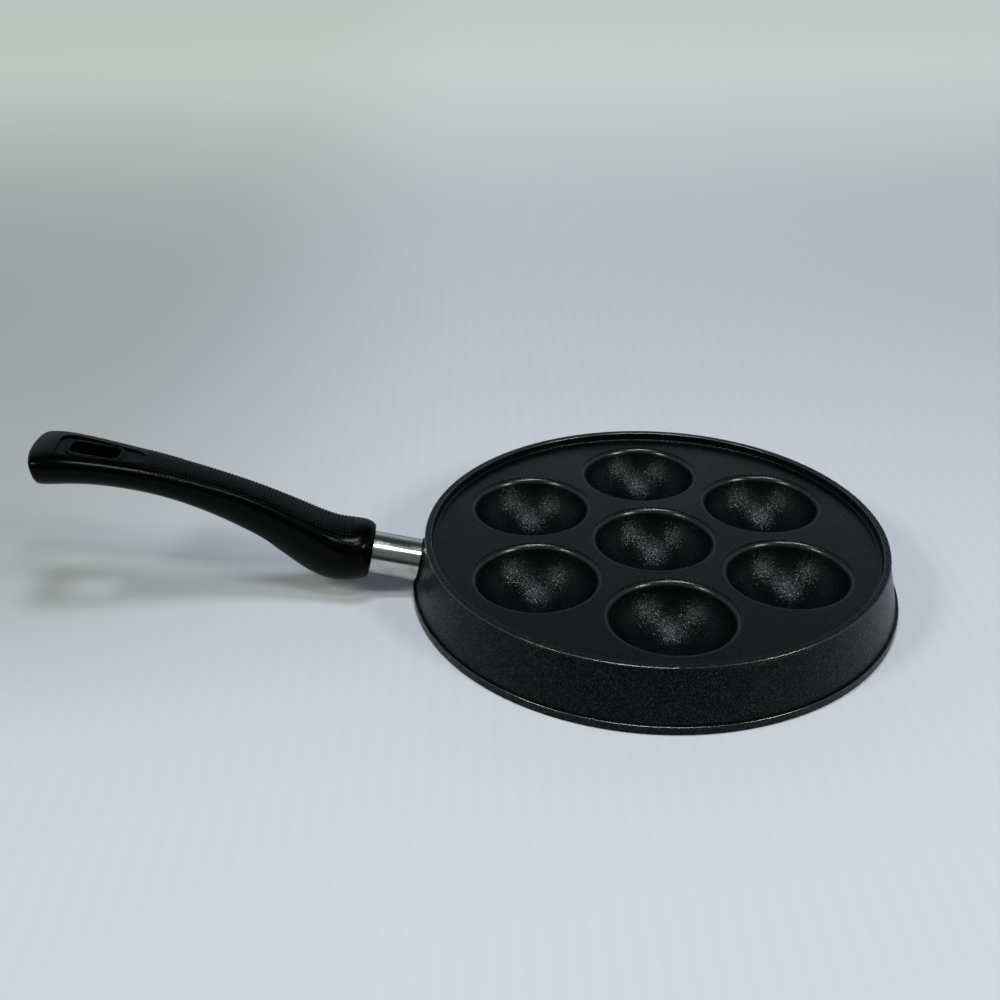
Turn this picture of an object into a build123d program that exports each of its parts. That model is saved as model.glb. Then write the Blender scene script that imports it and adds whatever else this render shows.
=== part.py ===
# Aebleskiver pan: a cast pan with seven round cups and a moulded handle on a steel ferrule.
# Millimetres, +Z up. The origin is on the axis of the round pan, in the plane that it stands on.
# The handle points towards -X, halfway between two of the outer cups.
import math
import os

from build123d import *

os.makedirs("parts", exist_ok=True)

# Cups: one in the middle and a ring round it
outer_cup_count = 6
cup_mouth_radius = 27.8        # before its rim is rounded
cup_web = 9.8                  # deck between two neighbouring mouths
cup_wall = 3.0
cup_floor = 3.4                # metal under the lowest point, foot pad included
cup_foot_radius = 11.0         # flat pad under each cup, level with the base
cup_rim_rounding = 2.5
cup_root_rounding = 2.0        # underneath, between cup and deck

# Pan casting round the cups, from the deck out to the foot flange
pan_height = 28.8
lip_height = 3.8               # above the deck
deck_margin = 10.8             # between the outer mouths and the lip
deck_wall = 3.0
lip_wall_lean = 0.8            # how far the lip's inner face leans in over its height
lip_foot_rounding = 1.0
lip_top_width = 3.1
lip_edge_rounding = 0.5
lip_bead_height = 1.1          # upright outer face of the lip, above its thin groove
lip_groove_height = 0.5
lip_groove_depth = 0.35
skirt_flare = 5.1              # how much wider the skirt is at its foot
skirt_wall = 3.2
skirt_root_rounding = 2.5      # underneath, between skirt and deck
ledge_width = 1.3              # flat step between the skirt and the flange's edge
flange_height = 4.0
flange_rounding = 0.45

# Line along which the handle is fastened, square to the skirt
axis_tilt = 12.8               # degrees
land_margin = 0.5              # flat seat on the round skirt, past the ferrule's edge
land_step = 0.5
ferrule_lift = 0.15            # lowest point of the ferrule, above the flange
stub_length = 9.0
boss_radius = 7.5              # inside the skirt, round the screw's thread
boss_length = 15.0

# Ferrule
ferrule_radius = 10.3
ferrule_wall = 1.2
ferrule_length = 22.8
ferrule_edge_rounding = 0.3
ferrule_play = 0.1             # radial, on the stub and on the handle's spigot

# Fastening
screw_radius = 3.0
screw_length = 70.0
screw_head_radius = 6.0
screw_head_height = 4.6
screw_head_rounding = 1.8
screw_point = 0.8
screw_reach = 12.0             # screw's point, past the ferrule's seat on the skirt
recess_width = 1.3
recess_length = 6.6
recess_depth = 2.8
recess_taper = 12              # degrees
thread_play = 0.05
washer_radius = 6.0
washer_bore_play = 0.2
washer_thickness = 1.6
spring_washer_radius = 5.7
spring_washer_thickness = 1.6
spring_washer_gap = 1.2
screw_bore_play = 0.3
well_play = 0.5                # radial, round the screw's head
well_reach_share = 0.57        # of the handle's run, by where the well has left its underside

# Handle
spigot_gap = 3.8               # inside the ferrule, between the stub and the handle's spigot
handle_run = 148.8             # along the ground, from its front face to its far end
handle_climb = 54.8
handle_width = 35.0
handle_thickness = 29.0
front_rounding = 1.2
end_bow_radius = 60.0          # the far end is slightly bowed, seen from above
end_lean = 6.5                 # degrees, its top further out than its bottom
end_rounding = 2.2

# Hanging slot in a shallow dish, both measured along the ground from the handle's far end
slot_inset = 27.4              # to the slot's middle
slot_length = 21.5
slot_width = 10.8
slot_corner = 3.2
bead_width = 2.0               # low bead round the slot, on the dish's floor
bead_height = 0.7
bead_rounding = 0.4
dish_inset = 11.2
dish_reach = 37.6
dish_depth = 1.0               # below the handle's top, at the dish's far end
dish_tip_depth = 0.5           # and at its tip
dish_width = 20.4
dish_tip_width = 10.0
dish_corner = 4.5
dish_tip_corner = 4.6
dish_edge_rounding = 0.25

overrun = 40.0                 # how far cuts run past the solid

# Handle sections along its S shape, each square to its own tilt in degrees. Their shares are
# of handle_run and handle_climb for the place, of handle_width for half the width, and of
# handle_thickness above and below the widest line. The last is how square the shoulders are.
handle_station_shares = [
    (0.000, 0.000, axis_tilt, 0.365, 0.445, 0.395, 0.58),
    (0.015, 0.030, axis_tilt, 0.408, 0.450, 0.475, 0.60),
    (0.040, 0.062, axis_tilt, 0.444, 0.413, 0.565, 0.64),
    (0.081, 0.093, 16.0, 0.438, 0.356, 0.640, 0.72),
    (0.132, 0.155, 21.5, 0.392, 0.305, 0.672, 0.79),
    (0.202, 0.272, 27.0, 0.353, 0.261, 0.615, 0.82),
    (0.283, 0.412, 29.5, 0.317, 0.229, 0.540, 0.82),
    (0.385, 0.558, 27.0, 0.291, 0.204, 0.478, 0.82),
    (0.496, 0.687, 23.0, 0.296, 0.180, 0.420, 0.82),
    (0.617, 0.803, 18.5, 0.326, 0.166, 0.382, 0.82),
    (0.729, 0.887, 15.0, 0.370, 0.162, 0.377, 0.82),
    (0.830, 0.948, 11.0, 0.421, 0.170, 0.404, 0.82),
    (0.904, 0.979, 7.0, 0.466, 0.184, 0.438, 0.82),
    (0.955, 0.990, 3.0, 0.487, 0.190, 0.452, 0.81),
    (0.985, 0.989, 0.0, 0.473, 0.187, 0.434, 0.80),
    (1.012, 0.984, -4.0, 0.415, 0.170, 0.385, 0.79),  # just past the end, which a cut then bows
]
belly_side_share = 0.50        # how far down the sides stay upright
belly_flat_share = 0.60        # how far across the underside stays flat

# Places worked out from the sizes
cup_pitch = 2 * cup_mouth_radius + cup_web
cup_circle_radius = cup_pitch / (2 * math.sin(math.pi / outer_cup_count))
cup_places = PolarLocations(
    cup_circle_radius,
    outer_cup_count,
    start_angle=180 + 180 / outer_cup_count,
)
deck_height = pan_height - lip_height
deck_under = deck_height - deck_wall
lip_foot_radius = cup_circle_radius + cup_mouth_radius + deck_margin
lip_inner_radius = lip_foot_radius + lip_wall_lean
lip_outer_radius = lip_inner_radius + lip_top_width
groove_top = pan_height - lip_bead_height
groove_low = groove_top - lip_groove_height
skirt_top_radius = lip_outer_radius - lip_groove_depth / 2
skirt_foot_radius = lip_outer_radius + skirt_flare
skirt_slope = (skirt_foot_radius - skirt_top_radius) / (groove_low - flange_height)
skirt_inside_foot = skirt_foot_radius - skirt_wall
skirt_inside_top = skirt_inside_foot - skirt_slope * deck_under
base_radius = skirt_foot_radius + ledge_width

cup_depth = deck_height - cup_floor
cup_radius = (cup_mouth_radius ** 2 + cup_depth ** 2) / (2 * cup_depth)
cup_centre_height = cup_floor + cup_radius
cup_mouth_angle = math.degrees(math.atan2(deck_height - cup_centre_height, cup_mouth_radius))
bulge_radius = cup_radius + cup_wall
bulge_top_radius = math.sqrt(bulge_radius ** 2 - (cup_centre_height - deck_under) ** 2)
bulge_top_angle = math.degrees(math.atan2(deck_under - cup_centre_height, bulge_top_radius))
foot_top = cup_centre_height - math.sqrt(bulge_radius ** 2 - cup_foot_radius ** 2)

axis_height = flange_height + ferrule_lift + ferrule_radius * math.cos(math.radians(axis_tilt))
axis_out = skirt_foot_radius - skirt_slope * (axis_height - flange_height)
land_radius = ferrule_radius + land_margin
ferrule_bore_radius = ferrule_radius - ferrule_wall
stub_radius = ferrule_bore_radius - ferrule_play
spigot_length = ferrule_length - stub_length - spigot_gap
washer_stack = washer_thickness + spring_washer_thickness
head_out = screw_length - screw_reach
seat_out = head_out - washer_stack
seat_depth = seat_out - ferrule_length
washer_bore_radius = screw_radius + washer_bore_play
well_length = well_reach_share * handle_run - seat_depth


# Plane square to the fastening line, this far out from the ferrule's seat, facing outward
def fastening_plane(distance):
    tilt = math.radians(axis_tilt)
    reach = land_step + distance
    return Plane(
        origin=(-axis_out - reach * math.cos(tilt), 0, axis_height + reach * math.sin(tilt)),
        x_dir=(0, -1, 0),
        z_dir=(-math.cos(tilt), 0, math.sin(tilt)),
    )


front_plane = fastening_plane(ferrule_length)
seat_plane = fastening_plane(seat_out)
head_plane = fastening_plane(head_out)
front_out = -front_plane.origin.X
front_height = front_plane.origin.Z


# Plane of one handle section, facing outward along the handle
def station_plane(run_share, climb_share, tilt_degrees):
    tilt = math.radians(tilt_degrees)
    return Plane(
        origin=(-front_out - run_share * handle_run, 0, front_height + climb_share * handle_climb),
        x_dir=(0, -1, 0),
        z_dir=(-math.cos(tilt), 0, math.sin(tilt)),
    )


# Height of the handle's top, this far along the ground from its front face
def handle_top(distance):
    tops = [(row[0], row[1], row[4]) for row in handle_station_shares]
    share = distance / handle_run
    for (near, near_climb, near_above), (far, far_climb, far_above) in zip(tops, tops[1:]):
        if share <= far:
            part = (share - near) / (far - near)
            climb = near_climb + part * (far_climb - near_climb)
            above = near_above + part * (far_above - near_above)
            return front_height + climb * handle_climb + above * handle_thickness


# Plane seen from above in which the far end's bow is drawn, leaning with that end
end_tilt = math.radians(end_lean)
end_plane = Plane(
    origin=(-front_out - handle_run, 0, front_height + handle_climb),
    x_dir=(math.cos(end_tilt), 0, math.sin(end_tilt)),
    z_dir=(-math.sin(end_tilt), 0, math.cos(end_tilt)),
)

# The dish's floor is flat, a little under the handle's top at its tip and deeper at its far end
dish_far = handle_run - dish_inset
dish_near = dish_far - dish_reach
dish_near_height = handle_top(dish_near) - dish_tip_depth
dish_far_height = handle_top(dish_far) - dish_depth
dish_slope = math.atan2(dish_far_height - dish_near_height, dish_reach)
dish_length = dish_reach / math.cos(dish_slope)
dish_plane = Plane(
    origin=(
        -front_out - (dish_near + dish_far) / 2,
        0,
        (dish_near_height + dish_far_height) / 2,
    ),
    x_dir=(math.cos(dish_slope), 0, -math.sin(dish_slope)),
    z_dir=(math.sin(dish_slope), 0, math.cos(dish_slope)),
)
dish_upright = Axis(dish_plane.origin, dish_plane.z_dir)
slot_shift = (slot_inset - dish_inset - dish_reach / 2) / math.cos(dish_slope)
slot_plane = Plane(
    origin=dish_plane.from_local_coords(Vector(slot_shift, 0, 0)),
    x_dir=dish_plane.x_dir,
    z_dir=dish_plane.z_dir,
)


# Whether an edge runs along the top of the dish's wall
def is_dish_rim(edge):
    middle = dish_plane.to_local_coords(edge.center())
    is_inside = abs(middle.X) < dish_length / 2 + dish_edge_rounding
    return is_inside and middle.Z > dish_tip_depth / 2


# Whether an edge of the slot lies in the top of its bead
def is_slot_mouth(edge):
    return math.isclose(slot_plane.to_local_coords(edge.center()).Z, bead_height)


# Pan body: skirt, deck and lip in one turned form, then the cups and the boss
with BuildPart() as cup_bulge:
    with BuildSketch(Plane.XZ):
        with BuildLine():
            bulge_arc = CenterArc((0, cup_centre_height), bulge_radius, -90, 90 + bulge_top_angle)
            Line(bulge_arc @ 1, (0, deck_under))
            Line((0, deck_under), bulge_arc @ 0)
        make_face()
    revolve(axis=Axis.Z)
    with BuildSketch(Plane.XY):
        Circle(cup_foot_radius)
    extrude(amount=foot_top)
    split(bisect_by=Plane.XY, keep=Keep.TOP)

with BuildPart() as cup_hollow:
    with BuildSketch(Plane.XZ):
        with BuildLine():
            hollow_arc = CenterArc((0, cup_centre_height), cup_radius, -90, 90 + cup_mouth_angle)
            Line(hollow_arc @ 1, (0, deck_height))
            Line((0, deck_height), hollow_arc @ 0)
        make_face()
    revolve(axis=Axis.Z)

with BuildPart() as pan_body:
    with BuildSketch(Plane.XZ):
        with BuildLine():
            Polyline(
                (0, deck_height),
                (lip_foot_radius, deck_height),
                (lip_inner_radius, pan_height),
                (lip_outer_radius, pan_height),
                (lip_outer_radius, groove_top),
                (lip_outer_radius - lip_groove_depth, (groove_top + groove_low) / 2),
                (skirt_top_radius, groove_low),
                (skirt_foot_radius, flange_height),
                (base_radius, flange_height),
                (base_radius, 0),
                (skirt_inside_foot, 0),
                (skirt_inside_top, deck_under),
                (0, deck_under),
                close=True,
            )
        make_face()
    revolve(axis=Axis.Z)
    rings = pan_body.edges().filter_by(GeomType.CIRCLE)
    lip_tops = [e for e in rings if math.isclose(e.center().Z, pan_height)]
    fillet(lip_tops, lip_edge_rounding)
    rings = pan_body.edges().filter_by(GeomType.CIRCLE)
    flange_edges = [e for e in rings if math.isclose(e.radius, base_radius)]
    fillet(flange_edges, flange_rounding)
    rings = pan_body.edges().filter_by(GeomType.CIRCLE)
    lip_feet = [e for e in rings if math.isclose(e.center().Z, deck_height)]
    fillet(lip_feet, lip_foot_rounding)
    with Locations((0, 0, 0)):
        add(cup_bulge.part)
    with cup_places:
        add(cup_bulge.part)
    rings = pan_body.edges().filter_by(GeomType.CIRCLE)
    bulge_roots = [e for e in rings if math.isclose(e.center().Z, deck_under)]
    bulge_roots = [e for e in bulge_roots if math.isclose(e.radius, bulge_top_radius)]
    fillet(bulge_roots, cup_root_rounding)
    rings = pan_body.edges().filter_by(GeomType.CIRCLE)
    skirt_roots = [e for e in rings if math.isclose(e.radius, skirt_inside_top)]
    fillet(skirt_roots, skirt_root_rounding)
    # the ferrule's flat land and stub on the skirt's outside, and the screw's boss inside
    with BuildSketch(fastening_plane(0)):
        Circle(land_radius)
    extrude(amount=-land_step - skirt_wall)
    with BuildSketch(fastening_plane(0)):
        Circle(stub_radius)
    extrude(amount=stub_length)
    with BuildSketch(fastening_plane(0)):
        Circle(boss_radius)
    extrude(amount=-boss_length)
    with Locations((0, 0, 0)):
        add(cup_hollow.part, mode=Mode.SUBTRACT)
    with cup_places:
        add(cup_hollow.part, mode=Mode.SUBTRACT)
    rings = pan_body.edges().filter_by(GeomType.CIRCLE)
    cup_mouths = [e for e in rings if math.isclose(e.center().Z, deck_height)]
    cup_mouths = [e for e in cup_mouths if math.isclose(e.radius, cup_mouth_radius)]
    fillet(cup_mouths, cup_rim_rounding)
    with BuildSketch(fastening_plane(stub_length)):
        Circle(screw_radius + thread_play)
    extrude(amount=-stub_length - boss_length, mode=Mode.SUBTRACT)

pan_body.part.label = "pan_body"
export_step(pan_body.part, "parts/pan_body.step")


# Ferrule: the steel sleeve between pan and handle
with BuildPart() as ferrule:
    with BuildSketch(fastening_plane(0)):
        Circle(ferrule_radius)
        Circle(ferrule_bore_radius, mode=Mode.SUBTRACT)
    extrude(amount=ferrule_length)
    rims = ferrule.edges().filter_by(GeomType.CIRCLE)
    fillet([e for e in rims if math.isclose(e.radius, ferrule_radius)], ferrule_edge_rounding)

ferrule.part.label = "ferrule"
export_step(ferrule.part, "parts/ferrule.step")


# Handle: the S-shaped grip, its hanging slot with the bead round it, and the way in for the screw
with BuildPart() as slot_bead:
    with BuildSketch(slot_plane):
        RectangleRounded(
            slot_length + 2 * bead_width,
            slot_width + 2 * bead_width,
            slot_corner + bead_width,
        )
    extrude(amount=bead_height)
    fillet(slot_bead.faces().sort_by(dish_upright)[-1].edges(), bead_rounding)

with BuildPart() as handle:
    for run_s, climb_s, tilt, half_s, above_s, below_s, square_s in handle_station_shares:
        half = half_s * handle_width
        above = above_s * handle_thickness
        below = below_s * handle_thickness
        with BuildSketch(station_plane(run_s, climb_s, tilt)):
            with BuildLine():
                for side in (half, -half):
                    Bezier((side, 0), (side, square_s * above), (square_s * side, above), (0, above))
                    Bezier(
                        (side, 0),
                        (side, -belly_side_share * below),
                        (belly_flat_share * side, -below),
                        (0, -below),
                    )
            make_face()
    loft()
    front_face = handle.faces().sort_by(Axis.X)[-1]
    fillet(front_face.edges(), front_rounding)
    with BuildSketch(end_plane):
        Rectangle(2 * overrun, 2 * overrun)
        with Locations((end_bow_radius, 0)):
            Circle(end_bow_radius, mode=Mode.SUBTRACT)
    extrude(amount=overrun, both=True, mode=Mode.SUBTRACT)
    end_face = handle.faces().filter_by(GeomType.CYLINDER).sort_by(Axis.X)[0]
    fillet(end_face.edges(), end_rounding)
    # dish round the hanging slot, then the slot itself through its bead
    with BuildSketch(dish_plane):
        with BuildLine():
            Polyline(
                (-dish_length / 2, -dish_width / 2),
                (dish_length / 2, -dish_tip_width / 2),
                (dish_length / 2, dish_tip_width / 2),
                (-dish_length / 2, dish_width / 2),
                close=True,
            )
        make_face()
        fillet(vertices().sort_by(Axis.X)[:2], dish_corner)
        fillet(vertices().sort_by(Axis.X)[-2:], dish_tip_corner)
    extrude(amount=overrun, mode=Mode.SUBTRACT)
    dish_rim = handle.edges(Select.LAST).filter_by(dish_upright, reverse=True)
    fillet(dish_rim.filter_by(is_dish_rim), dish_edge_rounding)
    add(slot_bead.part)
    with BuildSketch(slot_plane):
        RectangleRounded(slot_length, slot_width, slot_corner)
    extrude(amount=overrun, both=True, mode=Mode.SUBTRACT)
    fillet(handle.edges(Select.LAST).filter_by(is_slot_mouth), bead_rounding)
    # spigot that fills the ferrule's end, then the screw's bore and its well
    with BuildSketch(seat_plane):
        Circle(stub_radius)
    extrude(amount=-seat_depth - spigot_length)
    with BuildSketch(seat_plane):
        Circle(screw_radius + screw_bore_play)
    extrude(amount=-seat_depth - spigot_length, mode=Mode.SUBTRACT)
    with BuildSketch(seat_plane):
        Circle(screw_head_radius + well_play)
    extrude(amount=well_length, mode=Mode.SUBTRACT)

handle.part.label = "handle"
export_step(handle.part, "parts/handle.step")


# Flat washer on the handle's inner seat
with BuildPart() as flat_washer:
    with BuildSketch(seat_plane):
        Circle(washer_radius)
        Circle(washer_bore_radius, mode=Mode.SUBTRACT)
    extrude(amount=washer_thickness)

flat_washer.part.label = "flat_washer"
export_step(flat_washer.part, "parts/flat_washer.step")


# Spring washer, a ring cut through at one side
with BuildPart() as spring_washer:
    with BuildSketch(fastening_plane(seat_out + washer_thickness)):
        Circle(spring_washer_radius)
        Circle(washer_bore_radius, mode=Mode.SUBTRACT)
        with Locations((spring_washer_radius, 0)):
            Rectangle(2 * spring_washer_radius, spring_washer_gap, mode=Mode.SUBTRACT)
    extrude(amount=spring_washer_thickness)

spring_washer.part.label = "spring_washer"
export_step(spring_washer.part, "parts/spring_washer.step")


# Screw: rounded head with a cross recess, shank through handle and ferrule into the casting
with BuildPart() as handle_screw:
    with BuildSketch(head_plane):
        Circle(screw_head_radius)
    extrude(amount=screw_head_height)
    crown = handle_screw.edges().filter_by(GeomType.CIRCLE).sort_by(Axis.X)[0]
    fillet(crown, screw_head_rounding)
    with BuildSketch(head_plane):
        Circle(screw_radius)
    extrude(amount=-screw_length)
    tip = handle_screw.edges().filter_by(GeomType.CIRCLE).sort_by(Axis.X)[-1]
    chamfer(tip, screw_point)
    with BuildSketch(head_plane.offset(screw_head_height)):
        Rectangle(recess_length, recess_width)
        Rectangle(recess_width, recess_length)
    extrude(amount=-recess_depth, taper=recess_taper, mode=Mode.SUBTRACT)

handle_screw.part.label = "handle_screw"
export_step(handle_screw.part, "parts/handle_screw.step")
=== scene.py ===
import math

import bpy
from mathutils import Matrix, Vector
from mathutils.bvhtree import BVHTree


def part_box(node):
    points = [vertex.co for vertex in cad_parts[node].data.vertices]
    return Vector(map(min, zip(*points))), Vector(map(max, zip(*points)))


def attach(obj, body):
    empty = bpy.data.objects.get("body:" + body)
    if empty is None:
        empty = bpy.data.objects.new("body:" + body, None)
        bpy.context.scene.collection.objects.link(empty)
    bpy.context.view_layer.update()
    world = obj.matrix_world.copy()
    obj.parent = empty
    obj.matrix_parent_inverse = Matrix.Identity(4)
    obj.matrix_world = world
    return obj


mm = 0.001

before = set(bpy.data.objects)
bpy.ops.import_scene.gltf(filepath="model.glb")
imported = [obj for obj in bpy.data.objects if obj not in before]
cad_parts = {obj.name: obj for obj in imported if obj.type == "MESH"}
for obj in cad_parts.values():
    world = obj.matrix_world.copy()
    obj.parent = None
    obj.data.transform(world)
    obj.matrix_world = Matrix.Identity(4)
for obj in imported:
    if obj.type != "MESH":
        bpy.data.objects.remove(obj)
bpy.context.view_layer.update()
print("frame:", ", ".join(sorted(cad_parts)))


# node helpers


def addNode(tree, kind, place, inputs=None, **settings):
    made = tree.nodes.new(kind)
    made.location = place
    for name, value in settings.items():
        setattr(made, name, value)
    for name, value in (inputs or {}).items():
        made.inputs[name].default_value = value
    return made


def addGroup(tree, group, place, inputs=None):
    return addNode(tree, "ShaderNodeGroup", place, inputs, node_tree=group)


# an empty shader group with its named sockets, and its two end nodes
def newGroup(name, takes, gives):
    tree = bpy.data.node_groups.new(name, "ShaderNodeTree")
    for label, kind, value in takes:
        socket = tree.interface.new_socket(name=label, in_out="INPUT", socket_type=kind)
        if value is not None:
            socket.default_value = value
    for label, kind in gives:
        tree.interface.new_socket(name=label, in_out="OUTPUT", socket_type=kind)
    entry = addNode(tree, "NodeGroupInput", (-1000, 0))
    leave = addNode(tree, "NodeGroupOutput", (800, 0))
    return tree, entry, leave


number = "NodeSocketFloat"
vector = "NodeSocketVector"


# fine grain of a cast or moulded skin, as a height from 0 to 1
def makeGrainGroup():
    tree, entry, leave = newGroup(
        "skinGrain",
        [("Vector", vector, None), ("Size", number, 0.5 * mm), ("Fineness", number, 3.0)],
        [("Height", number)],
    )
    pitch = addNode(tree, "ShaderNodeMath", (-800, -100), {0: 1.0}, operation="DIVIDE")
    finePitch = addNode(tree, "ShaderNodeMath", (-620, -250), operation="MULTIPLY")
    coarse = addNode(tree, "ShaderNodeTexNoise", (-400, 100), {"Detail": 1.5, "Roughness": 0.5})
    fine = addNode(tree, "ShaderNodeTexNoise", (-400, -200), {"Detail": 1.0, "Roughness": 0.5})
    mixed = addNode(tree, "ShaderNodeMix", (-100, 0), {"Factor": 0.35}, data_type="FLOAT")
    tree.links.new(entry.outputs["Size"], pitch.inputs[1])
    tree.links.new(pitch.outputs[0], coarse.inputs["Scale"])
    tree.links.new(pitch.outputs[0], finePitch.inputs[0])
    tree.links.new(entry.outputs["Fineness"], finePitch.inputs[1])
    tree.links.new(finePitch.outputs[0], fine.inputs["Scale"])
    tree.links.new(entry.outputs["Vector"], coarse.inputs["Vector"])
    tree.links.new(entry.outputs["Vector"], fine.inputs["Vector"])
    tree.links.new(coarse.outputs["Fac"], mixed.inputs["A"])
    tree.links.new(fine.outputs["Fac"], mixed.inputs["B"])
    tree.links.new(mixed.outputs["Result"], leave.inputs["Height"])
    return tree


# worn edges: where the surface bends within a small radius, broken up by a little noise
def makeEdgeGroup():
    tree, entry, leave = newGroup(
        "edgeWear",
        [("Vector", vector, None), ("Radius", number, 0.5 * mm), ("Bend", number, 0.1)],
        [("Mask", number)],
    )
    bevel = addNode(tree, "ShaderNodeBevel", (-800, 200), samples=4)
    surface = addNode(tree, "ShaderNodeNewGeometry", (-800, -50))
    match = addNode(tree, "ShaderNodeVectorMath", (-560, 100), operation="DOT_PRODUCT")
    bend = addNode(tree, "ShaderNodeMath", (-380, 100), {0: 1.0}, operation="SUBTRACT")
    share = addNode(tree, "ShaderNodeMath", (-200, 100), operation="DIVIDE", use_clamp=True)
    breaks = addNode(tree, "ShaderNodeTexNoise", (-380, -200), {"Scale": 900.0, "Detail": 2.0})
    patchy = addNode(
        tree,
        "ShaderNodeMapRange",
        (-200, -200),
        {"From Min": 0.35, "From Max": 0.65, "To Min": 0.25, "To Max": 1.0},
    )
    worn = addNode(tree, "ShaderNodeMath", (100, 0), operation="MULTIPLY")
    tree.links.new(entry.outputs["Radius"], bevel.inputs["Radius"])
    tree.links.new(bevel.outputs["Normal"], match.inputs[0])
    tree.links.new(surface.outputs["Normal"], match.inputs[1])
    tree.links.new(match.outputs["Value"], bend.inputs[1])
    tree.links.new(bend.outputs[0], share.inputs[0])
    tree.links.new(entry.outputs["Bend"], share.inputs[1])
    tree.links.new(entry.outputs["Vector"], breaks.inputs["Vector"])
    tree.links.new(breaks.outputs["Fac"], patchy.inputs["Value"])
    tree.links.new(share.outputs[0], worn.inputs[0])
    tree.links.new(patchy.outputs["Result"], worn.inputs[1])
    tree.links.new(worn.outputs[0], leave.inputs["Mask"])
    return tree


# soft patches left by hands and wiping
def makeSmudgeGroup():
    tree, entry, leave = newGroup(
        "smudges",
        [("Vector", vector, None), ("Size", number, 20 * mm)],
        [("Mask", number)],
    )
    pitch = addNode(tree, "ShaderNodeMath", (-800, -100), {0: 1.0}, operation="DIVIDE")
    cloud = addNode(
        tree,
        "ShaderNodeTexNoise",
        (-500, 0),
        {"Detail": 4.0, "Roughness": 0.6, "Distortion": 0.4},
    )
    soft = addNode(
        tree,
        "ShaderNodeMapRange",
        (-200, 0),
        {"From Min": 0.38, "From Max": 0.68},
        interpolation_type="SMOOTHSTEP",
    )
    tree.links.new(entry.outputs["Size"], pitch.inputs[1])
    tree.links.new(pitch.outputs[0], cloud.inputs["Scale"])
    tree.links.new(entry.outputs["Vector"], cloud.inputs["Vector"])
    tree.links.new(cloud.outputs["Fac"], soft.inputs["Value"])
    tree.links.new(soft.outputs["Result"], leave.inputs["Mask"])
    return tree


# hairline scratches in two crossing directions
def makeScratchGroup():
    tree, entry, leave = newGroup(
        "hairlines",
        [("Vector", vector, None), ("Width", number, 0.15 * mm), ("Fewness", number, 0.72)],
        [("Mask", number)],
    )
    pitch = addNode(tree, "ShaderNodeMath", (-900, -200), {0: 1.0}, operation="DIVIDE")
    tree.links.new(entry.outputs["Width"], pitch.inputs[1])
    found = []
    for row, (turn, stretch) in enumerate((((0.3, 0.2, 0.5), 0.02), ((0.7, -0.4, 2.1), 0.03))):
        turned = addNode(
            tree,
            "ShaderNodeMapping",
            (-700, -300 * row),
            {"Rotation": turn, "Scale": (1.0, stretch, 1.0)},
        )
        streak = addNode(tree, "ShaderNodeTexNoise", (-460, -300 * row), {"Detail": 0.0})
        thin = addNode(tree, "ShaderNodeMapRange", (-220, -300 * row), {"From Max": 0.8})
        tree.links.new(entry.outputs["Vector"], turned.inputs["Vector"])
        tree.links.new(turned.outputs["Vector"], streak.inputs["Vector"])
        tree.links.new(pitch.outputs[0], streak.inputs["Scale"])
        tree.links.new(streak.outputs["Fac"], thin.inputs["Value"])
        tree.links.new(entry.outputs["Fewness"], thin.inputs["From Min"])
        found.append(thin)
    either = addNode(tree, "ShaderNodeMath", (200, 0), operation="MAXIMUM")
    tree.links.new(found[0].outputs["Result"], either.inputs[0])
    tree.links.new(found[1].outputs["Result"], either.inputs[1])
    tree.links.new(either.outputs[0], leave.inputs["Mask"])
    return tree


# small facets in a sprayed coating, each tipped its own way, and which of them are bright flakes
def makeFacetGroup():
    tree, entry, leave = newGroup(
        "sprayFacets",
        [
            ("Vector", vector, None),
            ("Size", number, 0.6 * mm),
            ("Tip", number, 0.2),
            ("Flakes", number, 0.1),
        ],
        [("Normal", vector), ("Shade", number), ("Flake", number)],
    )
    pitch = addNode(tree, "ShaderNodeMath", (-900, -200), {0: 1.0}, operation="DIVIDE")
    cells = addNode(tree, "ShaderNodeTexVoronoi", (-700, 0), {"Randomness": 1.0})
    centred = addNode(
        tree,
        "ShaderNodeVectorMath",
        (-480, 0),
        {1: (0.5, 0.5, 0.5)},
        operation="SUBTRACT",
    )
    tipped = addNode(tree, "ShaderNodeVectorMath", (-280, 0), operation="SCALE")
    surface = addNode(tree, "ShaderNodeNewGeometry", (-480, -250))
    summed = addNode(tree, "ShaderNodeVectorMath", (-80, 0), operation="ADD")
    unit = addNode(tree, "ShaderNodeVectorMath", (120, 0), operation="NORMALIZE")
    split = addNode(tree, "ShaderNodeSeparateColor", (-280, 250))
    flake = addNode(tree, "ShaderNodeMath", (-80, 250), operation="LESS_THAN")
    tree.links.new(entry.outputs["Size"], pitch.inputs[1])
    tree.links.new(entry.outputs["Vector"], cells.inputs["Vector"])
    tree.links.new(pitch.outputs[0], cells.inputs["Scale"])
    tree.links.new(cells.outputs["Color"], centred.inputs[0])
    tree.links.new(centred.outputs["Vector"], tipped.inputs[0])
    tree.links.new(entry.outputs["Tip"], tipped.inputs["Scale"])
    tree.links.new(tipped.outputs["Vector"], summed.inputs[0])
    tree.links.new(surface.outputs["Normal"], summed.inputs[1])
    tree.links.new(summed.outputs["Vector"], unit.inputs[0])
    tree.links.new(cells.outputs["Color"], split.inputs["Color"])
    tree.links.new(unit.outputs["Vector"], leave.inputs["Normal"])
    tree.links.new(split.outputs["Red"], leave.inputs["Shade"])
    tree.links.new(split.outputs["Blue"], flake.inputs[0])
    tree.links.new(entry.outputs["Flakes"], flake.inputs[1])
    tree.links.new(flake.outputs[0], leave.inputs["Flake"])
    return tree


grainGroup = makeGrainGroup()
edgeGroup = makeEdgeGroup()
smudgeGroup = makeSmudgeGroup()
scratchGroup = makeScratchGroup()
facetGroup = makeFacetGroup()
print("shader groups made")


# materials


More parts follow.
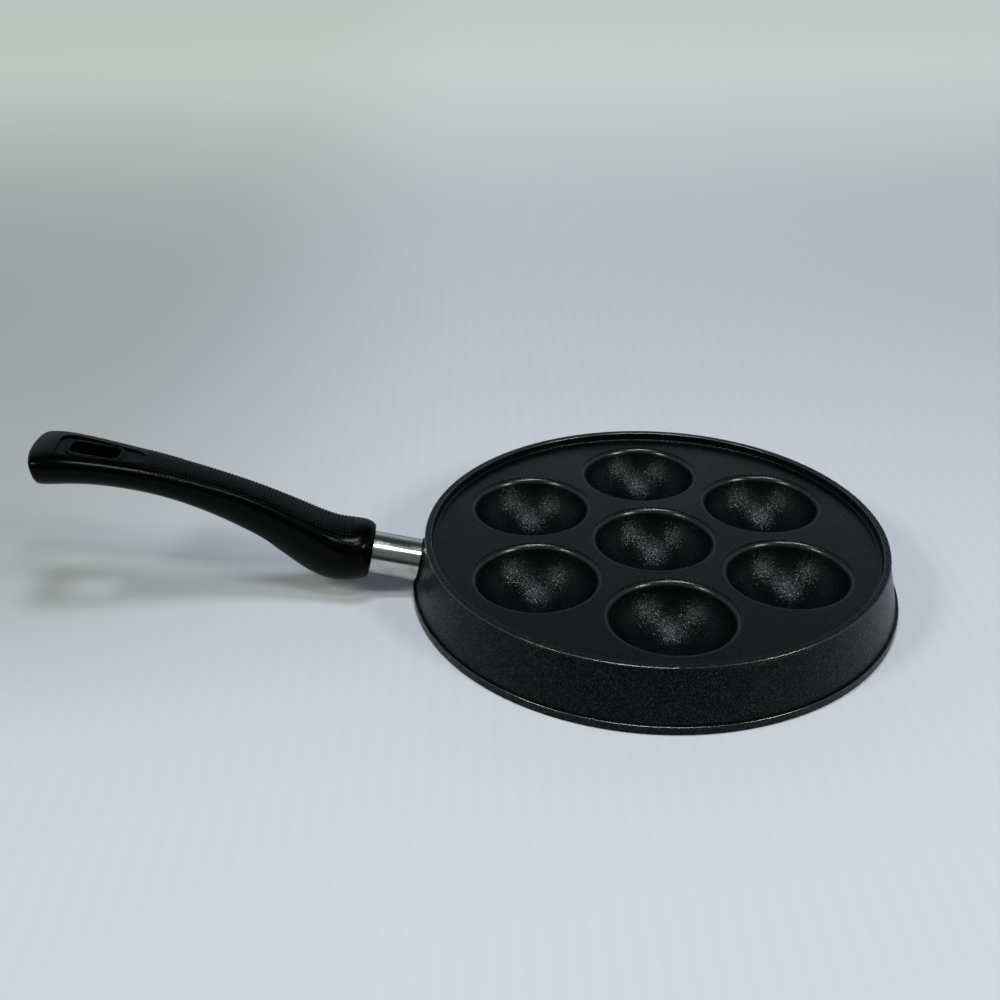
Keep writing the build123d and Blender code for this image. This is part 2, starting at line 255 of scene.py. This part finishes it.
# an empty material: its tree, its Principled shader, and the place on the object
def newFinish(name):
    material = bpy.data.materials.new(name)
    material.use_nodes = True
    tree = material.node_tree
    tree.nodes.clear()
    shader = addNode(tree, "ShaderNodeBsdfPrincipled", (600, 0))
    output = addNode(tree, "ShaderNodeOutputMaterial", (900, 0))
    place = addNode(tree, "ShaderNodeTexCoord", (-1400, 0))
    tree.links.new(shader.outputs["BSDF"], output.inputs["Surface"])
    return material, tree, shader, place.outputs["Object"]


# gives a socket a number, a colour or another node's output
def feed(tree, socket, source):
    if isinstance(source, tuple):
        socket.default_value = (*source, 1.0)
    elif isinstance(source, float):
        socket.default_value = source
    else:
        tree.links.new(source, socket)


# the colour mixes from one to another by a mask
def blendColour(tree, place, mask, first, second):
    mix = addNode(tree, "ShaderNodeMix", place, data_type="RGBA", blend_type="MIX")
    tree.links.new(mask, mix.inputs["Factor"])
    feed(tree, mix.inputs[6], first)
    feed(tree, mix.inputs[7], second)
    return mix.outputs[2]


# a value that runs from low to high with a mask
def blendValue(tree, place, mask, low, high):
    mapped = addNode(tree, "ShaderNodeMapRange", place)
    tree.links.new(mask, mapped.inputs["Value"])
    feed(tree, mapped.inputs["To Min"], low)
    feed(tree, mapped.inputs["To Max"], high)
    return mapped.outputs["Result"]


# 0 before the start and top past the end, with a straight or an eased rise between them
def addRise(tree, place, value, start, end, top=1.0, eased=True):
    mapped = addNode(
        tree,
        "ShaderNodeMapRange",
        place,
        {"From Min": start, "From Max": end, "To Max": top},
        interpolation_type="SMOOTHSTEP" if eased else "LINEAR",
    )
    tree.links.new(value, mapped.inputs["Value"])
    return mapped.outputs["Result"]


def addMath(tree, place, operation, *values):
    made = addNode(tree, "ShaderNodeMath", place, operation=operation)
    for socket, value in zip(made.inputs, values):
        feed(tree, socket, value)
    return made.outputs[0]


def sumValues(tree, place, total, *others):
    for other in others:
        total = addMath(tree, place, "ADD", total, other)
    return total


def splitVector(tree, place, source):
    split = addNode(tree, "ShaderNodeSeparateXYZ", place)
    tree.links.new(source, split.inputs[0])
    return split.outputs


# a bump whose height is in metres, over an optional earlier normal
def addBump(tree, place, height, depth, normal=None):
    bump = addNode(tree, "ShaderNodeBump", place, {"Strength": 1.0, "Distance": depth})
    tree.links.new(height, bump.inputs["Height"])
    if normal is not None:
        tree.links.new(normal, bump.inputs["Normal"])
    return bump.outputs["Normal"]


# masks of the worn edges and of the smudges
def addWear(tree, place, c):
    edge = addGroup(tree, edgeGroup, (-1000, 300), {"Radius": c["edgeRadius"], "Bend": c["edgeBend"]})
    smudge = addGroup(tree, smudgeGroup, (-1000, 0), {"Size": c["smudgeSize"]})
    for group in (edge, smudge):
        tree.links.new(place, group.inputs["Vector"])
    return edge.outputs["Mask"], smudge.outputs["Mask"]


# height of the skin's grain
def addGrain(tree, place, c):
    grain = addGroup(
        tree,
        grainGroup,
        (-1000, -300),
        {"Size": c["grainSize"], "Fineness": c["grainFineness"]},
    )
    tree.links.new(place, grain.inputs["Vector"])
    return grain.outputs["Height"]


# mask of the hairline scratches
def addHairlines(tree, place, c):
    scratch = addGroup(
        tree,
        scratchGroup,
        (-1000, -600),
        {"Width": c["scratchWidth"], "Fewness": c["scratchFewness"]},
    )
    tree.links.new(place, scratch.inputs["Vector"])
    return scratch.outputs["Mask"]


# the finish's own colour, changed where it is handled and worn at the edges
def wearColour(tree, edge, smudge, c):
    handled = blendColour(tree, (-600, 200), smudge, c["colour"], c["handledColour"])
    return blendColour(tree, (-300, 200), edge, handled, c["wornColour"])


# roughness that runs over its spread with a mask
def spreadRoughness(tree, place, mask, c):
    low = c["roughness"] - c["roughnessSpread"]
    high = c["roughness"] + c["roughnessSpread"]
    return blendValue(tree, place, mask, low, high)


def finishSurface(tree, shader, colour, roughness, normal):
    tree.links.new(colour, shader.inputs["Base Color"])
    tree.links.new(roughness, shader.inputs["Roughness"])
    tree.links.new(normal, shader.inputs["Normal"])


coating = {
    "colour": (0.0004, 0.0009, 0.0012),
    "handledColour": (0.0008, 0.0014, 0.0018),
    "wornColour": (0.006, 0.007, 0.008),
    "roughness": 0.26,
    "roughnessSpread": 0.03,
    "ior": 1.215,
    "tint": (0.88, 0.98, 1.0),
    # facets of the sprayed coat, some of them metal flakes
    "facetSize": 0.28 * mm,
    "facetTip": 0.30,
    "facetSpread": 0.05,            # of roughness, from facet to facet
    "flakeShare": 0.12,
    "flakeColour": (0.034, 0.042, 0.045),
    # the level deck, whose coat lies flatter
    "deckHeight": 25.0 * mm,
    "deckRange": 0.06 * mm,         # either way
    "deckRoughness": 0.29,
    "deckTip": 0.10,
    "deckShare": 0.03,
    # gloss of the roundings that cloth and hands have rubbed
    "rubbedRoughness": 0.23,
    "rubbedIor": 2.2,
    "rubbedTip": 0.06,
    "rubbedUnder": 2.4,             # how much rougher the skin under that gloss is
    "rubbedFacing": (0.28, 0.45),   # upward part of the normal, where it starts and where it is full
    # each band's lowest and highest place, least distance from the pan's axis, and gloss
    "rubbedBands": {
        "flange": (3.50 * mm, 3.97 * mm, 100.0 * mm, 0.72),
        "cups": (22.7 * mm, 24.8 * mm, 0.0, 0.21),
        "lip": (28.25 * mm, 28.78 * mm, 100.0 * mm, 0.62),
    },
    "grainSize": 0.45 * mm,
    "grainFineness": 2.6,
    "grainDepth": 0.012 * mm,
    "edgeRadius": 0.5 * mm,
    "edgeBend": 0.25,
    "smudgeSize": 30 * mm,
}


# how glossy each rounding is, and 0 elsewhere
def rubbedRoundings(tree, place, c):
    surface = addNode(tree, "ShaderNodeNewGeometry", (-1400, 800))
    facing = splitVector(tree, (-1200, 800), surface.outputs["Normal"])
    upward = addRise(tree, (-1000, 800), facing["Z"], *c["rubbedFacing"], eased=False)
    level = splitVector(tree, (-1400, 600), place)
    flat = addNode(
        tree,
        "ShaderNodeVectorMath",
        (-1400, 400),
        {1: (1.0, 1.0, 0.0)},
        operation="MULTIPLY",
    )
    reach = addNode(tree, "ShaderNodeVectorMath", (-1200, 400), operation="LENGTH")
    tree.links.new(place, flat.inputs[0])
    tree.links.new(flat.outputs["Vector"], reach.inputs[0])
    shares = []
    for low, high, inner, gloss in c["rubbedBands"].values():
        middle = (low + high) / 2
        band = addMath(tree, (-1000, 600), "COMPARE", level["Z"], middle, high - middle)
        outside = addMath(tree, (-1000, 400), "GREATER_THAN", reach.outputs["Value"], inner)
        both = addMath(tree, (-800, 500), "MULTIPLY", band, outside)
        shares.append(addMath(tree, (-600, 500), "MULTIPLY", both, gloss))
    found = sumValues(tree, (-400, 600), *shares)
    return addMath(tree, (-200, 700), "MULTIPLY", found, upward)


def coatingFinish(c):
    material, tree, shader, place = newFinish("nonstickCoating")
    rubbed = rubbedRoundings(tree, place, c)
    height = splitVector(tree, (-1800, -700), place)["Z"]
    deck = addMath(tree, (-1600, -700), "COMPARE", height, c["deckHeight"], c["deckRange"])
    tip = blendValue(tree, (-1400, -550), deck, c["facetTip"], c["deckTip"])
    smoothed = blendValue(tree, (-1200, -550), rubbed, tip, c["rubbedTip"])
    share = blendValue(tree, (-1200, -850), deck, c["flakeShare"], c["deckShare"])
    facets = addGroup(tree, facetGroup, (-1000, -550), {"Size": c["facetSize"]})
    tree.links.new(place, facets.inputs["Vector"])
    tree.links.new(smoothed, facets.inputs["Tip"])
    tree.links.new(share, facets.inputs["Flakes"])
    edge, smudge = addWear(tree, place, c)
    worn = wearColour(tree, edge, smudge, c)
    colour = blendColour(tree, (0, 200), facets.outputs["Flake"], worn, c["flakeColour"])
    spread = c["roughnessSpread"]
    uneven = c["facetSpread"]
    roughness = sumValues(
        tree,
        (-500, -50),
        blendValue(tree, (-750, 0), deck, c["roughness"], c["deckRoughness"]),
        blendValue(tree, (-750, -150), smudge, spread, -spread),
        blendValue(tree, (-750, -300), facets.outputs["Shade"], -uneven, uneven),
        blendValue(tree, (-750, -450), rubbed, 0.0, c["rubbedUnder"]),
    )
    grain = addGrain(tree, place, c)
    normal = addBump(tree, (200, -400), grain, c["grainDepth"], facets.outputs["Normal"])
    finishSurface(tree, shader, colour, roughness, normal)
    tree.links.new(facets.outputs["Flake"], shader.inputs["Metallic"])
    tree.links.new(rubbed, shader.inputs["Coat Weight"])
    shader.inputs["Specular Tint"].default_value = (*c["tint"], 1.0)
    shader.inputs["Coat Roughness"].default_value = c["rubbedRoughness"]
    shader.inputs["Coat IOR"].default_value = c["rubbedIor"]
    shader.inputs["IOR"].default_value = c["ior"]
    return material


phenolic = {
    "colour": (0.0002, 0.0005, 0.0006),
    "handledColour": (0.0004, 0.0008, 0.0010),
    "wornColour": (0.014, 0.015, 0.015),
    "roughness": 0.20,
    "roughnessSpread": 0.03,
    "ior": 1.143,
    "grainSize": 0.6 * mm,
    "grainFineness": 3.0,
    "grainDepth": 0.006 * mm,
    "edgeRadius": 0.35 * mm,
    "edgeBend": 0.3,
    "smudgeSize": 16 * mm,
    "scratchWidth": 0.25 * mm,
    "scratchFewness": 0.74,
    "scratchDepth": 0.004 * mm,
    "scratchRoughness": 0.08,       # added in the scratches
}


def phenolicFinish(c):
    material, tree, shader, place = newFinish("mouldedPhenolic")
    edge, smudge = addWear(tree, place, c)
    scratch = addHairlines(tree, place, c)
    colour = wearColour(tree, edge, smudge, c)
    wiped = spreadRoughness(tree, (-600, -50), smudge, c)
    scuffed = blendValue(tree, (-600, -300), scratch, 0.0, c["scratchRoughness"])
    roughness = sumValues(tree, (-300, -50), wiped, scuffed)
    skin = addBump(tree, (0, -400), addGrain(tree, place, c), c["grainDepth"])
    normal = addBump(tree, (250, -400), scratch, -c["scratchDepth"], skin)
    finishSurface(tree, shader, colour, roughness, normal)
    shader.inputs["IOR"].default_value = c["ior"]
    return material


sleeve = {
    "colour": (0.53, 0.54, 0.51),
    "handledColour": (0.42, 0.43, 0.40),
    "wornColour": (0.70, 0.70, 0.68),
    "roughness": 0.11,
    "roughnessSpread": 0.05,
    "hazeRoughness": 0.10,          # added in the smudges
    "tilt": math.radians(12.8),     # of the fastening line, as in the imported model
    "lineWidth": 0.16 * mm,
    "lineStretch": 0.02,            # along the sleeve
    "lineDepth": 0.004 * mm,
    "edgeRadius": 0.3 * mm,
    "edgeBend": 0.3,
    "smudgeSize": 6 * mm,
    "scratchWidth": 0.2 * mm,
    "scratchFewness": 0.70,
    "scratchDepth": 0.004 * mm,
}


# fine lines that drawing has left along the sleeve
def drawnLines(tree, place, c):
    along = addNode(tree, "ShaderNodeMapping", (-1150, -300), {"Rotation": (0.0, c["tilt"], 0.0)})
    stretched = addNode(
        tree,
        "ShaderNodeMapping",
        (-950, -300),
        {"Scale": (c["lineStretch"], 1.0, 1.0)},
    )
    lines = addNode(
        tree,
        "ShaderNodeTexNoise",
        (-750, -300),
        {"Scale": 1 / c["lineWidth"], "Detail": 3.0, "Roughness": 0.6},
    )
    tree.links.new(place, along.inputs["Vector"])
    tree.links.new(along.outputs["Vector"], stretched.inputs["Vector"])
    tree.links.new(stretched.outputs["Vector"], lines.inputs["Vector"])
    return lines.outputs["Fac"]


def sleeveFinish(c):
    material, tree, shader, place = newFinish("drawnSteel")
    edge, smudge = addWear(tree, place, c)
    colour = wearColour(tree, edge, smudge, c)
    lines = drawnLines(tree, place, c)
    drawn = spreadRoughness(tree, (-500, -150), lines, c)
    hazed = blendValue(tree, (-500, 0), smudge, 0.0, c["hazeRoughness"])
    roughness = sumValues(tree, (-300, -50), drawn, hazed)
    grooves = addBump(tree, (0, -400), lines, c["lineDepth"])
    scratch = addHairlines(tree, place, c)
    normal = addBump(tree, (250, -400), scratch, -c["scratchDepth"], grooves)
    finishSurface(tree, shader, colour, roughness, normal)
    shader.inputs["Metallic"].default_value = 1.0
    return material


plating = {
    "colour": (0.58, 0.57, 0.53),
    "handledColour": (0.42, 0.42, 0.41),
    "wornColour": (0.72, 0.71, 0.69),
    "roughness": 0.34,
    "roughnessSpread": 0.08,
    "grainSize": 0.25 * mm,
    "grainFineness": 2.0,
    "grainDepth": 0.004 * mm,
    "edgeRadius": 0.2 * mm,
    "edgeBend": 0.3,
    "smudgeSize": 3 * mm,
    "scratchWidth": 0.12 * mm,
    "scratchFewness": 0.70,
    "scratchDepth": 0.004 * mm,
}


def platingFinish(c):
    material, tree, shader, place = newFinish("zincPlating")
    edge, smudge = addWear(tree, place, c)
    colour = wearColour(tree, edge, smudge, c)
    roughness = spreadRoughness(tree, (-500, -50), smudge, c)
    skin = addBump(tree, (0, -400), addGrain(tree, place, c), c["grainDepth"])
    scratch = addHairlines(tree, place, c)
    normal = addBump(tree, (250, -400), scratch, -c["scratchDepth"], skin)
    finishSurface(tree, shader, colour, roughness, normal)
    shader.inputs["Metallic"].default_value = 1.0
    return material


finishes = {
    "nonstick_casting": coatingFinish(coating),
    "phenolic_handle": phenolicFinish(phenolic),
    "stainless_ferrule": sleeveFinish(sleeve),
    "zinc_fastener": platingFinish(plating),
}

nodeFinishes = {
    "pan_body": "nonstick_casting",
    "ferrule": "stainless_ferrule",
    "handle": "phenolic_handle",
    "handle_screw": "zinc_fastener",
    "flat_washer": "zinc_fastener",
    "spring_washer": "zinc_fastener",
}

for nodeName, finishName in nodeFinishes.items():
    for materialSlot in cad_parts[nodeName].material_slots:
        materialSlot.material = finishes[finishName]
print("finishes given to", len(nodeFinishes), "pieces")


# the grip's raised pattern, laid on the handle's own surface


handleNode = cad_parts["handle"]
handleSkin = BVHTree.FromPolygons(
    [v.co.copy() for v in handleNode.data.vertices],
    [tuple(p.vertices) for p in handleNode.data.polygons],
)
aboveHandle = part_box("handle")[1].z + 10 * mm


# the handle's surface straight below a place, with its normal
def dropOnHandle(x, y):
    return handleSkin.ray_cast(Vector((x, y, aboveHandle)), Vector((0.0, 0.0, -1.0)))[:2]


# level part of a normal across the handle: 1 on its back, less out on the shoulders
def levelShare(normal):
    return normal.z / math.hypot(normal.y, normal.z)


# a new mesh piece of the handle's finish that rides with the pan
def addPiece(name, points, faces):
    mesh = bpy.data.meshes.new(name)
    mesh.from_pydata(points, [], faces)
    mesh.validate()
    mesh.update()
    for polygon in mesh.polygons:
        polygon.use_smooth = True
    piece = bpy.data.objects.new(name, mesh)
    bpy.context.scene.collection.objects.link(piece)
    piece.data.materials.append(finishes["phenolic_handle"])
    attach(piece, "root")
    return piece


# faces between two closed rows of points, given by their first indices
def bridgeRows(low, high, count):
    return [
        (low + step, low + (step + 1) % count, high + (step + 1) % count, high + step)
        for step in range(count)
    ]


gripDots = {
    "farRow": 232.0 * mm,       # from the pan's axis
    "nearRow": 142.0 * mm,
    "rowPitch": 1.65 * mm,
    "columnPitch": 2.2 * mm,
    "radius": 0.60 * mm,
    "height": 0.29 * mm,
    "sink": 0.10 * mm,          # foot of each dot below the surface
    "steepest": 42,             # degrees, where the rows stop at the shoulders
    "sides": 10,
    "rings": 3,
}


# where the dots stand: rows along the handle, columns out to both shoulders
def dotPlaces(c):
    limit = math.cos(math.radians(c["steepest"]))
    places = []
    x = -c["farRow"]
    while x < -c["nearRow"]:
        up = dropOnHandle(x, 0.0)[1]
        for side in (-1, 1):
            y = side * c["columnPitch"] / 2
            place, normal = dropOnHandle(x, y)
            while place is not None and levelShare(normal) >= limit:
                places.append((place, normal))
                y += side * c["columnPitch"] * levelShare(normal)
                place, normal = dropOnHandle(x, y)
        x += c["rowPitch"] * up.z
    return places


# one closed dome, its foot sunk under the surface
def addDot(points, faces, place, normal, c):
    side = normal.orthogonal().normalized()
    other = normal.cross(side)
    count = c["sides"]
    first = len(points)
    for ring in range(c["rings"]):
        lift = math.radians(90) * ring / c["rings"]
        reach = c["radius"] * math.cos(lift)
        height = (c["height"] + c["sink"]) * math.sin(lift) - c["sink"]
        for step in range(count):
            turn = 2 * math.pi * step / count
            out = side * math.cos(turn) + other * math.sin(turn)
            points.append(place + out * reach + normal * height)
    for ring in range(c["rings"] - 1):
        low = first + ring * count
        faces.extend(bridgeRows(low, low + count, count))
    top = first + (c["rings"] - 1) * count
    crown = len(points)
    points.append(place + normal * c["height"])
    for step in range(count):
        faces.append((top + step, top + (step + 1) % count, crown))
    faces.append(tuple(reversed(range(first, first + count))))


def makeGripDots(c):
    points = []
    faces = []
    for place, normal in dotPlaces(c):
        addDot(points, faces, place, normal, c)
    return addPiece("grip_dots", points, faces)


gripBorder = {
    "place": 233.4 * mm,        # from the pan's axis
    "width": 0.6 * mm,
    "height": 0.22 * mm,
    "sink": 0.10 * mm,
    "steepest": 46,             # degrees, where the rib ends at the shoulders
    "step": 0.5 * mm,
    "taperSteps": 3,            # over which it rises to its height at both ends
    "endSteps": 0.2,            # of those, how far it has risen at the very end
    "profile": 6,               # steps round the rib's back
}


# the rib's line over the handle, from one shoulder to the other
def borderSpine(c):
    limit = math.cos(math.radians(c["steepest"]))
    spine = []
    for side in (-1, 1):
        run = []
        y = 0.0
        place, normal = dropOnHandle(-c["place"], y)
        while levelShare(normal) > limit:
            run.append((place, normal))
            y += side * c["step"]
            place, normal = dropOnHandle(-c["place"], y)
        spine = run[::-1] + spine if side < 0 else spine + run[1:]
    return spine


# one low rib across the handle, where the pattern begins
def makeGripBorder(c):
    spine = borderSpine(c)
    points = []
    faces = []
    count = c["profile"] + 1
    for index, (place, normal) in enumerate(spine):
        ends = min(index, len(spine) - 1 - index)
        rise = c["height"] * min(1.0, (ends + c["endSteps"]) / c["taperSteps"])
        along = Vector((normal.z, 0.0, -normal.x)).normalized()
        for step in range(count):
            turn = math.pi * step / c["profile"]
            out = along * math.cos(turn) * c["width"] / 2
            points.append(place + out + normal * ((rise + c["sink"]) * math.sin(turn) - c["sink"]))
    for index in range(len(spine) - 1):
        faces.extend(bridgeRows(index * count, (index + 1) * count, count))
    faces.append(tuple(range(count))[::-1])
    faces.append(tuple(range(len(points) - count, len(points))))
    return addPiece("grip_border", points, faces)


dots = makeGripDots(gripDots)
border = makeGripBorder(gripBorder)
print("grip dots:", len(dots.data.polygons), "faces; border:", len(border.data.polygons))


# studio


studioFloor = {
    "size": 8.0,
    "colour": (0.541, 0.548, 0.619),
    "ribColour": (0.529, 0.536, 0.608),
    "ribPitch": 9 * mm,
    "ribScale": 0.32,                   # wave scale that gives a pitch of one metre
    "paintedShadeColour": (0.390, 0.398, 0.421),
    "paintedShadeAcross": (-0.08, -0.34),     # painted shade: the floor's colour darkens towards its far left corner
    "paintedShadeDeep": (-0.14, 0.02),
    "darkReflectionEdge": (-0.25, -0.31),        # painted dark reflection: past it, reflections see the floor black
    "darkReflectionColour": (0.03, 0.03, 0.03),
    "roughness": 0.55,
    "gloss": 0.2,
    "glowRise": (0.15, 1.4),            # over which the far floor, as lit by lamps of its own, lifts
    "glowStrength": 0.41,
    "glowColour": (0.92, 1.0, 0.90),
}


# ribbed paper, with painted shade darkening it towards its far left corner, and a painted dark reflection:
# reflections see it black past the table's edge
def floorColour(tree, place, spot, path, c):
    ribs = addNode(
        tree,
        "ShaderNodeTexWave",
        (-900, 0),
        {
            "Scale": c["ribScale"] / c["ribPitch"],
            "Distortion": 1.0,
            "Detail": 1.0,
            "Detail Scale": 0.4,
        },
        bands_direction="X",
    )
    tree.links.new(place, ribs.inputs["Vector"])
    plain = blendColour(tree, (-700, 0), ribs.outputs["Fac"], c["colour"], c["ribColour"])
    # painted shade: the floor's colour darkens towards its far left corner
    paintedShadeMask = addMath(
        tree,
        (-700, 300),
        "MULTIPLY",
        addRise(tree, (-900, 500), spot["X"], *c["paintedShadeAcross"]),
        addRise(tree, (-900, 300), spot["Y"], *c["paintedShadeDeep"]),
    )
    ribbed = blendColour(tree, (-500, 0), paintedShadeMask, plain, c["paintedShadeColour"])
    # painted dark reflection: glossy rays see the floor black past this line
    pastDarkReflectionEdge = addRise(tree, (-900, -300), spot["Y"], *c["darkReflectionEdge"], eased=False)
    darkReflectionMask = addMath(tree, (-500, -300), "MULTIPLY", pastDarkReflectionEdge, path["Is Glossy Ray"])
    return blendColour(tree, (-200, 0), darkReflectionMask, ribbed, c["darkReflectionColour"])


def makeFloor(c):
    half = c["size"] / 2
    mesh = bpy.data.meshes.new("studio_floor")
    mesh.from_pydata(
        [(-half, -half, 0), (half, -half, 0), (half, half, 0), (-half, half, 0)],
        [],
        [(0, 1, 2, 3)],
    )
    floor = bpy.data.objects.new("studio_floor", mesh)
    bpy.context.scene.collection.objects.link(floor)
    material, tree, shader, place = newFinish("paperSweep")
    path = addNode(tree, "ShaderNodeLightPath", (-1200, -600)).outputs
    spot = splitVector(tree, (-1200, -200), place)
    lift = addRise(tree, (-700, -800), spot["Y"], *c["glowRise"], top=c["glowStrength"])
    glow = addMath(tree, (-500, -800), "MULTIPLY", lift, path["Is Camera Ray"])
    colour = floorColour(tree, place, spot, path, c)
    tree.links.new(colour, shader.inputs["Base Color"])
    tree.links.new(glow, shader.inputs["Emission Strength"])
    shader.inputs["Emission Color"].default_value = (*c["glowColour"], 1.0)
    shader.inputs["Roughness"].default_value = c["roughness"]
    shader.inputs["Specular IOR Level"].default_value = c["gloss"]
    mesh.materials.append(material)


lamps = {
    "overhead": {
        "towards": (-0.06, -0.03, 1.0),
        "distance": 1.15,
        "size": (0.26, 0.22),
        "power": 5.6,
        "colour": (0.90, 0.94, 1.0),
    },
    "overheadFront": {
        "towards": (0.14, -0.36, 0.92),
        "distance": 1.15,
        "size": (0.24, 0.15),
        "power": 2.9,
        "colour": (0.92, 0.95, 1.0),
    },
    "rightFront": {
        "towards": (0.62, -0.52, 0.58),
        "distance": 1.3,
        "size": (0.26, 0.26),
        "power": 6.1,
        "colour": (0.95, 1.0, 0.80),
    },
    "leftFront": {
        "towards": (-0.655, -0.37, 0.655),
        "distance": 1.3,
        "size": (0.26, 0.26),
        "power": 4.8,
        "colour": (0.95, 1.0, 0.79),
    },
}


def makeLamps(rows):
    for name, c in rows.items():
        light = bpy.data.lights.new(name, "AREA")
        light.shape = "RECTANGLE"
        light.size, light.size_y = c["size"]
        light.energy = c["power"]
        light.color = c["colour"]
        lamp = bpy.data.objects.new(name, light)
        bpy.context.scene.collection.objects.link(lamp)
        towards = Vector(c["towards"]).normalized()
        lamp.location = towards * c["distance"]
        lamp.rotation_mode = "QUATERNION"
        lamp.rotation_quaternion = towards.to_track_quat("Z", "Y")
        lamp.visible_camera = False


room = {
    "wallColour": (0.54, 0.62, 0.69),
    "wallLowColour": (0.16, 0.19, 0.21),
    "wallRise": (0.02, 0.30),       # sines of the heights between which the walls brighten
    "ceilingColour": (0.040, 0.048, 0.050),
    "wallFade": (0.32, 0.84),       # sines of the heights between which the walls fade
    "frontLowColour": (0.028, 0.028, 0.027),
    "frontHighColour": (0.16, 0.17, 0.16),
    "frontRise": (0.18, 0.40),      # sines of the heights between which the front brightens
    "frontEdge": (-0.70, -0.05),    # how far back a direction points where the front ends and the walls begin
    "seenColour": (0.62, 0.66, 0.70),
}


# pale walls, darker low down and high up, and a dark front; the camera sees one plain pale colour
def makeRoom(c):
    world = bpy.data.worlds.new("studioRoom")
    world.use_nodes = True
    tree = world.node_tree
    tree.nodes.clear()
    place = addNode(tree, "ShaderNodeTexCoord", (-900, 0))
    towards = splitVector(tree, (-700, 0), place.outputs["Generated"])
    backward = addRise(tree, (-500, 150), towards["Y"], *c["frontEdge"])
    fading = addRise(tree, (-500, -150), towards["Z"], *c["wallFade"])
    lifting = addRise(tree, (-500, -650), towards["Z"], *c["wallRise"])
    brightening = addRise(tree, (-500, -400), towards["Z"], *c["frontRise"])
    walls = blendColour(tree, (-300, -650), lifting, c["wallLowColour"], c["wallColour"])
    behind = blendColour(tree, (-100, -150), fading, walls, c["ceilingColour"])
    front = blendColour(
        tree,
        (-300, -400),
        brightening,
        c["frontLowColour"],
        c["frontHighColour"],
    )
    light = blendColour(tree, (0, 0), backward, front, behind)
    path = addNode(tree, "ShaderNodeLightPath", (-100, 300))
    seen = blendColour(tree, (150, 0), path.outputs["Is Camera Ray"], light, c["seenColour"])
    background = addNode(tree, "ShaderNodeBackground", (400, 0))
    output = addNode(tree, "ShaderNodeOutputWorld", (600, 0))
    tree.links.new(seen, background.inputs["Color"])
    tree.links.new(background.outputs["Background"], output.inputs["Surface"])
    bpy.context.scene.world = world


makeFloor(studioFloor)
makeLamps(lamps)
makeRoom(room)
print("studio set")


# camera


shot = {
    "target": (-71.4 * mm, 83.9 * mm, 0.0),
    "distance": 691.9 * mm,
    "azimuth": -0.76,           # degrees; 0 looks along +Y
    "elevation": 28.99,
    "roll": -0.35,
    "lens": 46.34,
    "sensor": 36.0,
    "reach": (0.01, 50.0),     # nearest and farthest place that it sees
}


def makeCamera(c):
    azimuth = math.radians(c["azimuth"])
    elevation = math.radians(c["elevation"])
    back = Vector(
        (
            math.sin(azimuth) * math.cos(elevation),
            -math.cos(azimuth) * math.cos(elevation),
            math.sin(elevation),
        )
    )
    right = Vector((math.cos(azimuth), math.sin(azimuth), 0.0))
    up = back.cross(right)
    level = Matrix((right, up, back)).transposed().to_4x4()
    data = bpy.data.cameras.new("shot")
    data.lens = c["lens"]
    data.sensor_width = c["sensor"]
    data.clip_start, data.clip_end = c["reach"]
    camera = bpy.data.objects.new("shot", data)
    bpy.context.scene.collection.objects.link(camera)
    place = Matrix.Translation(Vector(c["target"]) + back * c["distance"])
    camera.matrix_world = place @ level @ Matrix.Rotation(math.radians(c["roll"]), 4, "Z")
    bpy.context.scene.camera = camera


makeCamera(shot)
bpy.context.scene.view_settings.view_transform = "Standard"
print("camera set")
